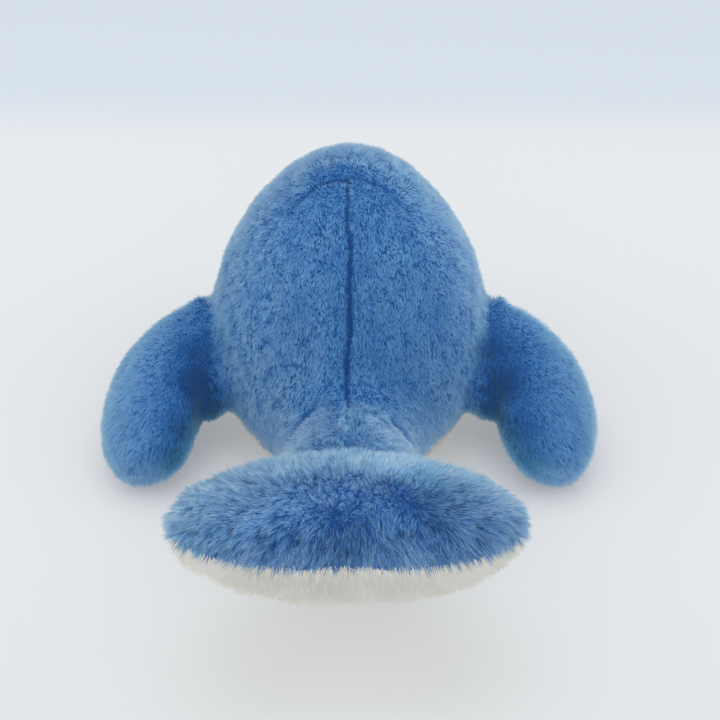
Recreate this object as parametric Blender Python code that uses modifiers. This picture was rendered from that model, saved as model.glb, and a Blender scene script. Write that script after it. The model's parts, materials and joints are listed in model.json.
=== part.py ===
"""A stuffed toy whale, lying on its belly with its flippers swept back and its flukes tipped up.

Plush panels are sewn over separate fillings: the body with its tail, two flippers and the
flukes. Each filled form is a coarse cage rounded by Subdivision Surface. A panel is its form
cut down to the panel's region and hollowed by the filling. +Y is the nose, +X the toy's right
side when it is seen from behind, and +Z is up. Lengths are in metres.
"""

import math
from types import SimpleNamespace

import bmesh
import bpy
from mathutils import Matrix, Vector
from mathutils.bvhtree import BVHTree

# The cloth with its pile, and the clearances
PLUSH_THICKNESS = 0.007
FIT_GAP = 0.0003
REST_CUT = 0.0005
OVERRUN = 0.02

# The body, from the tail's end to the nose
BODY_LENGTH = 0.385
BODY_WIDTH = 0.224
BODY_HEIGHT = 0.200
BODY_SIDES = 10
WIDEST_SHARE = 0.42
TOP_PINCH_SHARE = 0.26
BELLY_SQUARE_SHARE = 0.80
BELLY_FLAT_SHARE = 1.15
TAIL_UP_SHARE = 0.39
NOSE_UP_SHARE = 0.38

# Each row: how far along from the tail, half width, top and bottom
BODY_ROW_SHARES = (
    (0.000, 0.00, TAIL_UP_SHARE, TAIL_UP_SHARE),
    (0.012, 0.40, 0.50, 0.28),
    (0.085, 0.49, 0.49, 0.17),
    (0.185, 0.41, 0.45, 0.08),
    (0.280, 0.56, 0.43, 0.00),
    (0.385, 0.92, 0.73, 0.00),
    (0.520, 1.00, 0.96, 0.00),
    (0.640, 0.98, 1.00, 0.00),
    (0.760, 0.89, 0.96, 0.01),
    (0.870, 0.73, 0.83, 0.05),
    (0.955, 0.50, 0.66, 0.15),
    (0.992, 0.24, 0.50, 0.27),
    (1.000, 0.00, NOSE_UP_SHARE, NOSE_UP_SHARE),
)

# The seams of the body's skin: the side seam, from the tail to the nose, and the one over the head
HEAD_SEAM_SHARE = 0.69
HEAD_SEAM_LEAN = math.radians(12)
SIDE_SEAM_SHARES = (
    (-0.05, 0.30),
    (0.05, 0.28),
    (0.15, 0.20),
    (0.28, 0.15),
    (0.45, 0.17),
    (0.62, 0.25),
    (0.78, 0.33),
    (0.92, 0.36),
    (1.05, 0.37),
)

# The flippers: the root's seam follows the body's side and the blade sweeps back from it
FLIPPER_REACH = 0.065
FLIPPER_SWEEP = 0.124
FLIPPER_WIDTH = 0.074
FLIPPER_THICKNESS = 0.056
FLIPPER_ROOT_THICKNESS = 0.026
FLIPPER_ROOT_WIDTH = 0.106
FLIPPER_ROOT_BACK = 0.010
FLIPPER_SIDES = 8
FLIPPER_FULL_SHARE = 0.75
FLIPPER_PITCH = math.radians(15)
FLIPPER_YAW = math.radians(8)
FLIPPER_ALONG_SHARE = 0.505
FLIPPER_UP_SHARE = 0.35
FLIPPER_SINK = 0.007
FLIPPER_MOST_DROOP = math.radians(60)
FLIPPER_RAISE = math.radians(35)
FLIPPER_LOWER = math.radians(15)

# Each row: how far out and back, how far turned of a quarter turn, width and thickness
FLIPPER_ROW_SHARES = (
    (0.28, 0.12, 0.19, 1.36, 0.80),
    (0.55, 0.26, 0.43, 1.34, 1.00),
    (0.77, 0.50, 0.69, 1.27, 1.00),
    (0.84, 0.77, 0.87, 1.04, 0.94),
    (0.84, 0.95, 0.98, 0.70, 0.66),
    (0.86, 1.00, 1.00, 0.00, 0.00),
)

# The flukes, half drawn flat: how far out and how far back from the root's front edge
FLUKE_WIDTH = 0.230
FLUKE_CHORD = 0.143
FLUKE_THICKNESS = 0.082
FLUKE_TOP_FULL_SHARE = 1.15
FLUKE_BASE_FULL_SHARE = 0.90
FLUKE_BANDS = 6
FLUKE_TILT = math.radians(21)
FLUKE_TIP_RISE = 0.006
FLUKE_SEAM_POINTS = 9
FLUKE_CENTRE_SHARE = 0.59
FLUKE_HINGE_SHARE = 0.17
FLUKE_SINK = 0.012
FLUKE_SWING = math.radians(20)
FLUKE_OUTLINE_SHARES = (
    (0.00, 0.00),
    (0.40, 0.05),
    (0.76, 0.25),
    (0.96, 0.47),
    (1.00, 0.66),
    (0.88, 0.86),
    (0.59, 0.98),
    (0.24, 1.00),
    (0.00, 0.94),
)

# The weighted pouch inside the belly
POUCH_LENGTH = 0.110
POUCH_WIDTH = 0.090
POUCH_HEIGHT = 0.036
POUCH_ALONG_SHARE = 0.60
POUCH_SINK_SHARE = 0.15

# The eyes: a dome on a stem, held by a washer behind the cloth
EYE_DIAMETER = 0.012
EYE_HEIGHT = 0.0055
STEM_DIAMETER = 0.004
STEM_PAST_WASHER = 0.0035
WASHER_DIAMETER = 0.014
WASHER_THICKNESS = 0.002
EYE_ALONG_SHARE = 0.865
EYE_UP_SHARE = 0.44
EYE_AHEAD_SHARE = 0.25

# How finely round pieces and swings are stepped
ROUND_SIDES = 16
DOME_STEPS = 5
ROOT_STEPS = 3
SWING_STEPS = 5
ANGLE_STEP = math.radians(0.001)

# Each finish: linear colour and roughness
FINISHES = {
    "blue_plush": ((0.105, 0.225, 0.430, 1), 0.9),
    "cream_plush": ((0.640, 0.610, 0.520, 1), 0.9),
    "stuffing_fibre": ((0.800, 0.800, 0.780, 1), 1.0),
    "pouch_cloth": ((0.550, 0.530, 0.480, 1), 0.9),
    "eye_black": ((0.012, 0.010, 0.010, 1), 0.1),
    "washer_white": ((0.700, 0.700, 0.680, 1), 0.4),
}


def clear_scene():
    for obj in list(bpy.data.objects):
        bpy.data.objects.remove(obj, do_unlink=True)


def new_collection(name, parent):
    collection = bpy.data.collections.new(name)
    parent.children.link(collection)
    return collection


def material(name, colour, roughness):
    made = bpy.data.materials.new(name)
    made.diffuse_color = colour
    made.use_nodes = True
    shader = made.node_tree.nodes["Principled BSDF"]
    shader.inputs["Base Color"].default_value = colour
    shader.inputs["Roughness"].default_value = roughness
    shader.inputs["Metallic"].default_value = 0
    return made


def add_object(name, mesh, collection, parent, finish=None):
    obj = bpy.data.objects.new(name, mesh)
    collection.objects.link(obj)
    obj.parent = parent
    if finish:
        obj.data.materials.clear()
        obj.data.materials.append(finish)
    return obj


def add_empty(name, collection, parent=None, matrix=None):
    obj = add_object(name, None, collection, parent)
    obj.empty_display_size = PLUSH_THICKNESS
    if matrix:
        obj.matrix_local = matrix
    return obj


def add_helper(name, mesh, collection, parent):
    """A cutter: it shapes other pieces and isn't one itself."""
    obj = add_object(name, mesh, collection, parent)
    obj.hide_render = True
    obj.display_type = "WIRE"
    return obj


def mesh_from(bm, name):
    mesh = bpy.data.meshes.new(name)
    bm.to_mesh(mesh)
    bm.free()
    return mesh


def rounded(cage):
    """The soft form inside a coarse cage, in triangles, so that its hollows keep the same facets."""
    temporary = add_object("cage", cage, bpy.context.scene.collection, None)
    smooth = temporary.modifiers.new("soft form", "SUBSURF")
    smooth.levels = smooth.render_levels = 1
    bm = bmesh.new()
    bm.from_object(temporary, bpy.context.evaluated_depsgraph_get())
    bmesh.ops.triangulate(bm, faces=bm.faces)
    mesh = mesh_from(bm, "form")
    bpy.data.objects.remove(temporary, do_unlink=True)
    mesh.shade_smooth()
    return mesh


def sphere_cage(sides, bands, place):
    """A sphere of rings, each of whose points goes to place(band from the lower pole, angle)."""
    bm = bmesh.new()
    bmesh.ops.create_uvsphere(bm, u_segments=sides, v_segments=bands, radius=1)
    for vert in bm.verts:
        band = round((math.asin(max(-1, min(1, vert.co.z))) / math.pi + 0.5) * bands)
        vert.co = place(band, math.atan2(vert.co.y, vert.co.x))
    bm.normal_update()
    bmesh.ops.recalc_face_normals(bm, faces=bm.faces)
    return mesh_from(bm, "cage")


def fit_to(mesh, size, corner):
    """Stretches a form to its real size, with the low corner of its box where it is wanted."""
    low = Vector(min(v.co[i] for v in mesh.vertices) for i in range(3))
    high = Vector(max(v.co[i] for v in mesh.vertices) for i in range(3))
    for vert in mesh.vertices:
        for i in range(3):
            share = (vert.co[i] - low[i]) / (high[i] - low[i])
            vert.co[i] = corner[i] + share * size[i]
    mesh.update()
    return mesh


def offset_form(mesh, depth):
    """The same closed form, each point moved in along its normal, or out where depth is below 0."""
    moved = mesh.copy()
    places = [v.co - v.normal * depth for v in mesh.vertices]
    for vert, place in zip(moved.vertices, places):
        vert.co = place
    moved.update()
    return moved


def mirrored(mesh):
    """The left-hand copy of a right-hand form."""
    copy = mesh.copy()
    copy.transform(Matrix.Scale(-1, 4, Vector((1, 0, 0))))
    copy.flip_normals()
    return copy


def bent(value, power):
    return math.copysign(abs(value) ** power, value)


def steps_between(low, high, count):
    return [low + (high - low) * n / (count - 1) for n in range(count)]


def body_form():
    """The body with its tail, lying on the floor with the tail's end at Y 0."""

    def place(band, angle):
        along, half, top, bottom = BODY_ROW_SHARES[band]
        across, rise = math.cos(angle), math.sin(angle)
        middle = bottom + WIDEST_SHARE * (top - bottom)
        if rise > 0:
            height = middle + (top - middle) * rise
            across *= 1 - TOP_PINCH_SHARE * rise
        else:
            sag = BELLY_FLAT_SHARE * bent(rise, BELLY_SQUARE_SHARE)
            height = middle + (middle - bottom) * max(-1, sag)
            across = bent(across, BELLY_SQUARE_SHARE)
        return Vector((across * half, along, height))

    cage = sphere_cage(BODY_SIDES, len(BODY_ROW_SHARES) - 1, place)
    size = (BODY_WIDTH, BODY_LENGTH, BODY_HEIGHT + REST_CUT)
    return fit_to(rounded(cage), size, (-BODY_WIDTH / 2, 0, -REST_CUT))


def flipper_form():
    """The right flipper, flat, with the middle of its root's bead at the origin."""
    bead = FLIPPER_ROOT_THICKNESS / 2
    root_rows = []
    for turn in steps_between(math.pi / 2, 0, ROOT_STEPS):
        half = FLIPPER_ROOT_WIDTH / 2 * math.cos(turn)
        root_rows.append((-bead * math.sin(turn), half, bead * math.cos(turn)))

    def place(band, angle):
        if band < len(root_rows):
            back, half, thick = root_rows[band]
            middle, turn = Vector((back, -FLIPPER_ROOT_BACK, 0)), 0
        else:
            out, back, turned_share, wide, deep = FLIPPER_ROW_SHARES[band - len(root_rows)]
            middle = Vector((out * FLIPPER_REACH, -back * FLIPPER_SWEEP, 0))
            turn = turned_share * math.pi / 2
            half, thick = FLIPPER_WIDTH / 2 * wide, FLIPPER_THICKNESS / 2 * deep
        aside = Vector((math.sin(turn), math.cos(turn), 0)) * half * bent(math.cos(angle), FLIPPER_FULL_SHARE)
        raised = Vector((0, 0, thick * bent(math.sin(angle), FLIPPER_FULL_SHARE)))
        return middle + (aside + raised) / math.cos(math.pi / FLIPPER_SIDES)

    bands = len(root_rows) + len(FLIPPER_ROW_SHARES) - 1
    return rounded(sphere_cage(FLIPPER_SIDES, bands, place))


def fluke_lift(across):
    """How far the flukes' rim curves up, at a share of the way out to a tip."""
    return FLUKE_TIP_RISE * across * across


def fluke_form():
    """The flukes, flat, with the hinge line through the origin and the trailing edge at -Y."""
    steps = len(FLUKE_OUTLINE_SHARES) - 1
    centre = Vector((0, (FLUKE_HINGE_SHARE - FLUKE_CENTRE_SHARE) * FLUKE_CHORD, 0))

    def place(band, angle):
        rise = math.sin((band / FLUKE_BANDS - 0.5) * math.pi)
        spread = math.sqrt(max(0, 1 - rise * rise))
        index = round(abs(math.pi / 2 - angle) / math.pi * steps)
        side = 1 if math.cos(angle) >= 0 else -1
        across, along = FLUKE_OUTLINE_SHARES[min(index, 2 * steps - index)]
        rim = Vector((side * across * FLUKE_WIDTH / 2, (FLUKE_HINGE_SHARE - along) * FLUKE_CHORD, 0))
        rim.z = fluke_lift(across)
        full_share = FLUKE_TOP_FULL_SHARE if rise > 0 else FLUKE_BASE_FULL_SHARE
        height = FLUKE_THICKNESS / 2 * bent(rise, full_share)
        return centre + (rim - centre) * spread + Vector((0, 0, height))

    size = (FLUKE_WIDTH, FLUKE_CHORD, FLUKE_THICKNESS)
    corner = (-FLUKE_WIDTH / 2, (FLUKE_HINGE_SHARE - 1) * FLUKE_CHORD, -FLUKE_THICKNESS / 2)
    return fit_to(rounded(sphere_cage(2 * steps, FLUKE_BANDS, place)), size, corner)


def boolean(obj, cutter, operation):
    """Cuts obj by another object, or by every object of a collection."""
    modifier = obj.modifiers.new(cutter.name, "BOOLEAN")
    modifier.operation = operation
    modifier.solver = "EXACT"
    if isinstance(cutter, bpy.types.Collection):
        modifier.operand_type = "COLLECTION"
        modifier.collection = cutter
    else:
        modifier.object = cutter


def block(name, low, high, collection, parent):
    """A box cutter between two corners."""
    bm = bmesh.new()
    bmesh.ops.create_cube(bm, size=1)
    bmesh.ops.scale(bm, vec=Vector(high) - Vector(low), verts=bm.verts)
    bmesh.ops.translate(bm, vec=(Vector(high) + Vector(low)) / 2, verts=bm.verts)
    return add_helper(name, mesh_from(bm, name), collection, parent)


def slab(name, outline, low, high, collection, parent, axis="X"):
    """A region for a panel: an outline seen along X or Y, drawn along it from low to high."""
    bm = bmesh.new()
    face = bm.faces.new([bm.verts.new((low, y, z)) for y, z in outline])
    drawn = bmesh.ops.extrude_face_region(bm, geom=[face])["geom"]
    moved = [g for g in drawn if isinstance(g, bmesh.types.BMVert)]
    bmesh.ops.translate(bm, vec=(high - low, 0, 0), verts=moved)
    if axis == "Y":
        bm.transform(Matrix.Rotation(-math.pi / 2, 4, "Z"))
    bmesh.ops.recalc_face_normals(bm, faces=bm.faces)
    if bm.calc_volume(signed=True) < 0:
        bmesh.ops.reverse_faces(bm, faces=bm.faces)
    return add_helper(name, mesh_from(bm, name), collection, parent)


def add_swing(name, form, angles, axis, in_root, collection, hinge):
    """The room that a limb's root takes as it swings: a hull round all its places."""
    grown = offset_form(form, -FIT_GAP)
    root = [v.co for v in grown.vertices if in_root(v.co)]
    bm = bmesh.new()
    for angle in angles:
        turn = Matrix.Rotation(angle, 3, axis)
        for place in root:
            bm.verts.new(turn @ place)
    hull = bmesh.ops.convex_hull(bm, input=bm.verts)
    spare = {g for g in hull["geom_interior"] + hull["geom_unused"] if isinstance(g, bmesh.types.BMVert)}
    bmesh.ops.delete(bm, geom=list(spare), context="VERTS")
    bmesh.ops.recalc_face_normals(bm, faces=bm.faces)
    return add_helper(name, mesh_from(bm, name), collection, hinge)


def turned(name, profile, collection, parent, finish=None):
    """A round piece: a profile of (radius, height) points, from the top down, turned about Z."""
    bm = bmesh.new()
    points = [bm.verts.new((radius, 0, height)) for radius, height in profile]
    for a, b in zip(points, points[1:]):
        bm.edges.new((a, b))
    obj = add_object(name, mesh_from(bm, name), collection, parent, finish)
    screw = obj.modifiers.new("turn", "SCREW")
    screw.steps = screw.render_steps = ROUND_SIDES
    screw.use_merge_vertices = True
    screw.merge_threshold = FIT_GAP / 10
    return obj


def egg_mesh(name, size, centre):
    bm = bmesh.new()
    bmesh.ops.create_uvsphere(bm, u_segments=ROUND_SIDES, v_segments=ROUND_SIDES // 2, radius=0.5)
    bmesh.ops.scale(bm, vec=size, verts=bm.verts)
    bmesh.ops.translate(bm, vec=centre, verts=bm.verts)
    mesh = mesh_from(bm, name)
    mesh.shade_smooth()
    return mesh


def lowest(mesh, matrix, axis):
    return min((matrix @ v.co)[axis] for v in mesh.vertices)


def resting_matrix(form, place, most):
    """A limb's place, let down about its hinge until its tip is on the floor."""
    high, low = 0, most
    while abs(high - low) > ANGLE_STEP:
        middle = (high + low) / 2
        if lowest(form, place @ Matrix.Rotation(middle, 4, "Y"), 2) > -REST_CUT:
            high = middle
        else:
            low = middle
    return place @ Matrix.Rotation(high, 4, "Y")


def place_fluke(toy):
    """The flukes' hinge, just behind the tail's end. Their root needs room in the tail."""
    inside = Vector((0, FLUKE_CHORD, TAIL_UP_SHARE * BODY_HEIGHT))
    end = toy.tree.ray_cast(inside, Vector((0, -1, 0)))[0]
    reach = FLUKE_HINGE_SHARE * FLUKE_CHORD - FLUKE_SINK
    place = Matrix.Translation((0, end.y - reach, end.z)) @ Matrix.Rotation(-FLUKE_TILT, 4, "X")
    form = fluke_form()
    hinge = add_empty("fluke_hinge", toy.parts, toy.root, place)
    angles = steps_between(-FLUKE_SWING, FLUKE_SWING, SWING_STEPS)
    add_swing("fluke_room", form, angles, "X", lambda co: co.y > -PLUSH_THICKNESS, toy.swings, hinge)
    toy.root.location.y = -(BODY_LENGTH + lowest(form, place, 1)) / 2
    seam = [(x * FLUKE_WIDTH / 2, fluke_lift(x)) for x in steps_between(-1, 1, FLUKE_SEAM_POINTS)]
    return "fluke", form, hinge, seam


def place_flipper(toy, side_name, side):
    """A flipper's hinge, along the body's side. Its root needs room in the body."""
    inside = Vector((0, FLIPPER_ALONG_SHARE * BODY_LENGTH, FLIPPER_UP_SHARE * BODY_HEIGHT))
    point = toy.tree.ray_cast(inside, Vector((side, 0, 0)))[0]
    out = side * (FLIPPER_ROOT_THICKNESS / 2 - FLIPPER_SINK)
    place = Matrix.Translation(point + Vector((out, 0, 0)))
    place @= Matrix.Rotation(-side * FLIPPER_YAW, 4, "Z") @ Matrix.Rotation(FLIPPER_PITCH, 4, "X")
    form = flipper_form() if side > 0 else mirrored(flipper_form())
    hinge_place = resting_matrix(form, place, side * FLIPPER_MOST_DROOP)
    hinge = add_empty(f"flipper_{side_name}_hinge", toy.parts, toy.root, hinge_place)
    angles = steps_between(side * FLIPPER_LOWER, -side * FLIPPER_RAISE, SWING_STEPS)

    def in_root(co):
        return side * co.x < FLIPPER_ROOT_THICKNESS / 2

    add_swing(f"flipper_{side_name}_room", form, angles, "Y", in_root, toy.swings, hinge)
    return f"flipper_{side_name}", form, hinge, [(0, 0)]


def body_regions(toy):
    """The four regions of the body's skin, a seam's gap apart."""
    seam = [(along * BODY_LENGTH, up * BODY_HEIGHT) for along, up in SIDE_SEAM_SHARES]
    tail_end, nose_end = seam[0][0], seam[-1][0]
    roof, floor = BODY_HEIGHT + OVERRUN, -OVERRUN
    aside = BODY_WIDTH / 2 + OVERRUN
    half_gap = FIT_GAP / 2

    def head_line(z, gap):
        return HEAD_SEAM_SHARE * BODY_LENGTH + (z - BODY_HEIGHT) * math.tan(HEAD_SEAM_LEAN) + gap

    def seam_height(y):
        for (y0, z0), (y1, z1) in zip(seam, seam[1:]):
            if y0 <= y <= y1:
                return z0 + (z1 - z0) * (y - y0) / (y1 - y0)
        return seam[-1][1]

    def corner(gap):
        y = head_line(BODY_HEIGHT, gap)
        for _ in range(ROUND_SIDES):
            y = head_line(seam_height(y), gap)
        return (y, seam_height(y) + half_gap)

    raised = [(y, z + half_gap) for y, z in seam]
    rear, front = corner(-half_gap), corner(half_gap)
    back = [p for p in raised if p[0] < rear[0]] + [rear]
    back += [(head_line(roof, -half_gap), roof), (tail_end, roof)]
    face = [front] + [p for p in raised if p[0] > front[0]]
    face += [(nose_end, roof), (head_line(roof, half_gap), roof)]
    belly = [(y, z - half_gap) for y, z in seam] + [(nose_end, floor), (tail_end, floor)]
    return {
        "back_left": slab("back_left_region", back, -aside, -half_gap, toy.cutters, toy.root),
        "back_right": slab("back_right_region", back, half_gap, aside, toy.cutters, toy.root),
        "face": slab("face_region", face, -aside, aside, toy.cutters, toy.root),
        "belly": slab("belly_region", belly, -aside, aside, toy.cutters, toy.root),
    }


def add_panel(toy, name, form, hollow, region, finish, parent):
    """A panel of plush: the form inside its region, hollowed by what it covers."""
    panel = add_object(name, form.copy(), toy.parts, parent, toy.finishes[finish])
    boolean(panel, region, "INTERSECT")
    boolean(panel, hollow, "DIFFERENCE")
    return panel


def add_pouch(toy, lining_mesh):
    """The bean pouch, which lies on the belly's inside. Returns its room in the filling."""
    size = Vector((POUCH_WIDTH, POUCH_LENGTH, POUCH_HEIGHT))
    rise = PLUSH_THICKNESS + (0.5 - POUCH_SINK_SHARE) * POUCH_HEIGHT
    centre = Vector((0, POUCH_ALONG_SHARE * BODY_LENGTH, rise))
    mesh = egg_mesh("bean_pouch", size, centre)
    pouch = add_object("bean_pouch", mesh, toy.parts, toy.root, toy.finishes["pouch_cloth"])
    boolean(pouch, add_helper("body_lining", lining_mesh, toy.cutters, toy.root), "INTERSECT")
    room_size = size + 2 * Vector((FIT_GAP, FIT_GAP, FIT_GAP))
    return add_helper("pouch_room", egg_mesh("pouch_room", room_size, centre), toy.cutters, toy.root)


def add_eye(toy, side_name, side):
    """A safety eye: a dome whose stem goes through the cloth into a washer. Returns its room."""
    inside = Vector((0, EYE_ALONG_SHARE * BODY_LENGTH, EYE_UP_SHARE * BODY_HEIGHT))
    point, normal, _, _ = toy.tree.ray_cast(inside, Vector((side, EYE_AHEAD_SHARE, 0)).normalized())
    place = Matrix.Translation(point) @ normal.to_track_quat("Z", "Y").to_matrix().to_4x4()
    seat = add_empty(f"eye_{side_name}_seat", toy.parts, toy.root, place)

    stem, lid, disc = STEM_DIAMETER / 2, EYE_DIAMETER / 2, WASHER_DIAMETER / 2
    washer_top = -PLUSH_THICKNESS - FIT_GAP
    washer_base = washer_top - WASHER_THICKNESS
    stem_end = washer_base - STEM_PAST_WASHER
    dome = [
        (lid * math.sin(turn), FIT_GAP + EYE_HEIGHT * math.cos(turn))
        for turn in steps_between(0, math.pi / 2, DOME_STEPS)
    ]
    profile = dome + [(stem, FIT_GAP), (stem, stem_end), (0, stem_end)]
    turned(f"eye_{side_name}", profile, toy.parts, seat, toy.finishes["eye_black"])

    bore = stem + FIT_GAP
    ring = [(bore, washer_top), (disc, washer_top), (disc, washer_base), (bore, washer_base)]
    ring.append(ring[0])
    turned(f"eye_{side_name}_washer", ring, toy.parts, seat, toy.finishes["washer_white"])

    wide, deep = disc + FIT_GAP, stem_end - FIT_GAP
    hole = [(0, OVERRUN), (bore, OVERRUN), (bore, -PLUSH_THICKNESS)]
    pocket = [(wide, -PLUSH_THICKNESS), (wide, deep), (0, deep)]
    room = turned(f"eye_{side_name}_room", hole + pocket, toy.cutters, seat)
    room.hide_render = True
    room.display_type = "WIRE"
    return room


def add_body(toy):
    """The body's four panels and its filling, cut for what they hold."""
    hollow_mesh = offset_form(toy.body, PLUSH_THICKNESS)
    hollow = add_helper("body_hollow", hollow_mesh, toy.cutters, toy.root)
    inner = offset_form(hollow_mesh, FIT_GAP)
    pouch_room = add_pouch(toy, inner)
    filling = add_object("body_stuffing", inner.copy(), toy.parts, toy.root, toy.finishes["stuffing_fibre"])
    boolean(filling, pouch_room, "DIFFERENCE")
    boolean(filling, toy.swings, "DIFFERENCE")
    panels = {}
    for name, region in body_regions(toy).items():
        finish = "cream_plush" if name == "belly" else "blue_plush"
        panels[name] = add_panel(toy, f"{name}_panel", toy.body, hollow, region, finish, toy.root)
        boolean(panels[name], toy.swings, "DIFFERENCE")
    boolean(panels["belly"], toy.floor, "DIFFERENCE")
    for side_name, side in (("left", -1), ("right", 1)):
        room = add_eye(toy, side_name, side)
        boolean(panels["face"], room, "DIFFERENCE")
        boolean(filling, room, "DIFFERENCE")


def add_limb(toy, name, form, hinge, seam, under_finish):
    """A limb's upper and lower panel, sewn together along a seam round its edge, and its filling."""
    hollow_mesh = offset_form(form, PLUSH_THICKNESS)
    hollow = add_helper(f"{name}_hollow", hollow_mesh, toy.cutters, hinge)
    far = max(v.co.length for v in form.vertices) + OVERRUN
    half_gap = FIT_GAP / 2
    seam = [(-far, seam[0][1]), *seam, (far, seam[-1][1])]
    above = [(x, z + half_gap) for x, z in seam] + [(far, far), (-far, far)]
    below = [(x, z - half_gap) for x, z in seam] + [(far, -far), (-far, -far)]
    above = slab(f"{name}_above", above, -far, far, toy.cutters, hinge, "Y")
    below = slab(f"{name}_below", below, -far, far, toy.cutters, hinge, "Y")
    add_panel(toy, f"{name}_upper_panel", form, hollow, above, "blue_plush", hinge)
    lower = add_panel(toy, f"{name}_lower_panel", form, hollow, below, under_finish, hinge)
    filling = offset_form(hollow_mesh, FIT_GAP)
    add_object(f"{name}_stuffing", filling, toy.parts, hinge, toy.finishes["stuffing_fibre"])
    return lower


def main():
    clear_scene()
    toy = SimpleNamespace()
    toy.parts = new_collection("Plush whale", bpy.context.scene.collection)
    toy.cutters = new_collection("Cutters", bpy.context.scene.collection)
    toy.swings = new_collection("Swings", toy.cutters)
    toy.finishes = {name: material(name, *finish) for name, finish in FINISHES.items()}
    toy.root = add_empty("whale", toy.parts)
    toy.body = body_form()
    faces = [p.vertices for p in toy.body.polygons]
    toy.tree = BVHTree.FromPolygons([v.co for v in toy.body.vertices], faces)
    aside = BODY_WIDTH + FLIPPER_REACH
    behind, ahead = -BODY_LENGTH, 2 * BODY_LENGTH
    toy.floor = block("floor", (-aside, behind, -OVERRUN), (aside, ahead, 0), toy.cutters, toy.root)

    fluke = place_fluke(toy)
    flippers = [place_flipper(toy, "left", -1), place_flipper(toy, "right", 1)]
    add_body(toy)
    add_limb(toy, *fluke, "cream_plush")
    for flipper in flippers:
        lower = add_limb(toy, *flipper, "blue_plush")
        boolean(lower, toy.floor, "DIFFERENCE")


main()
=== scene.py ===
# %% [markdown]
# # A plush whale
# The real toy is a bag of furry cloth. A few panels are cut from plush, sewn edge to edge and
# filled with loose fibre, and the eyes are buttons locked through the cloth. Fur hides the cloth,
# but it also shows it: it parts over a seam, lies flat where it was stroked, and stands up over
# a bulge. So this scene is made in the same order as the toy: cloth first, then fur, then eyes.
#
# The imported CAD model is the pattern. It says where each panel lies and how the parts swing,
# and nothing here moves it.

# %% Load the frame
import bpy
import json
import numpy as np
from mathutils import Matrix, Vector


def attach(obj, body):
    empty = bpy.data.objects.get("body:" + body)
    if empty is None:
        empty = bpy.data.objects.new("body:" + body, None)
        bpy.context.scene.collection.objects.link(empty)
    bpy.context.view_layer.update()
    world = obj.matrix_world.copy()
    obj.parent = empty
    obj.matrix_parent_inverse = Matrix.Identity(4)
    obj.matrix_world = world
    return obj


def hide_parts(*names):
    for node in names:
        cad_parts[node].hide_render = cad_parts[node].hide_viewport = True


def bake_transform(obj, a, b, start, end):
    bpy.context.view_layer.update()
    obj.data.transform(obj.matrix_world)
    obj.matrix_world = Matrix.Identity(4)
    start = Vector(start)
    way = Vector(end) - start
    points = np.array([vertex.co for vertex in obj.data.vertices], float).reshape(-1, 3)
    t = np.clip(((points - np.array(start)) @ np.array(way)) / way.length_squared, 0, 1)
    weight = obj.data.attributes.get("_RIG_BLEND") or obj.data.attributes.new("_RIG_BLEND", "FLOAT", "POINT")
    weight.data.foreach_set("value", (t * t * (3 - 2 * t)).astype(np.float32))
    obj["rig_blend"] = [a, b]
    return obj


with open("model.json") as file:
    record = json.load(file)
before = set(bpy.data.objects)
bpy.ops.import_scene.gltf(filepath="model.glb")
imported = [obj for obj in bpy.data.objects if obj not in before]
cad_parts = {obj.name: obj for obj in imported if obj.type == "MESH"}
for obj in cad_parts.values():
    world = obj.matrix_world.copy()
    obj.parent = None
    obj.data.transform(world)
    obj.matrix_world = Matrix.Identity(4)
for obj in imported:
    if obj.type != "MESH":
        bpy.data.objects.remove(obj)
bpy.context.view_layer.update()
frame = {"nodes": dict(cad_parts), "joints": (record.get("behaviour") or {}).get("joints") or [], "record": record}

# %% [markdown]
# ## Tools of the trade
# `bmesh` holds a mesh while it is worked on, and `numpy` handles the thousands of points that a
# soft skin has. Every size below is in metres.

# %% Modules and helpers
import json
import math

import bmesh
import bpy
import numpy as np
from mathutils import Matrix, Vector, noise
from mathutils.bvhtree import BVHTree

scene = bpy.context.scene
WELD = 0.00001


def mesh_of(bm, name):
    """Ends a bmesh as a mesh with smooth shading."""
    mesh = bpy.data.meshes.new(name)
    bm.to_mesh(mesh)
    bm.free()
    mesh.shade_smooth()
    return mesh


def add_object(name, mesh):
    obj = bpy.data.objects.new(name, mesh)
    scene.collection.objects.link(obj)
    return obj


def finished_mesh(obj, name):
    """The mesh that an object's modifiers leave. The object itself is then removed."""
    bpy.context.view_layer.update()
    deps = bpy.context.evaluated_depsgraph_get()
    mesh = bpy.data.meshes.new_from_object(obj.evaluated_get(deps))
    mesh.name = name
    bpy.data.objects.remove(obj, do_unlink=True)
    return mesh


def points_of(mesh):
    co = np.zeros(len(mesh.vertices) * 3, np.float32)
    mesh.vertices.foreach_get("co", co)
    return co.reshape(-1, 3)


def normals_of(mesh):
    normals = np.zeros(len(mesh.vertices) * 3, np.float32)
    mesh.vertex_normals.foreach_get("vector", normals)
    return normals.reshape(-1, 3)


def move_points(mesh, co):
    mesh.vertices.foreach_set("co", np.ascontiguousarray(co, np.float32).ravel())
    mesh.update()


print("Blender", bpy.app.version_string)

# %% [markdown]
# ## Nodes as expressions
# Both materials and the fur are node trees. Placing nodes one at a time is slow to read, so a
# small class wraps a node's output. Adding or multiplying two of them adds the Math node, and
# one method makes any other node from its settings and its inputs.


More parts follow.
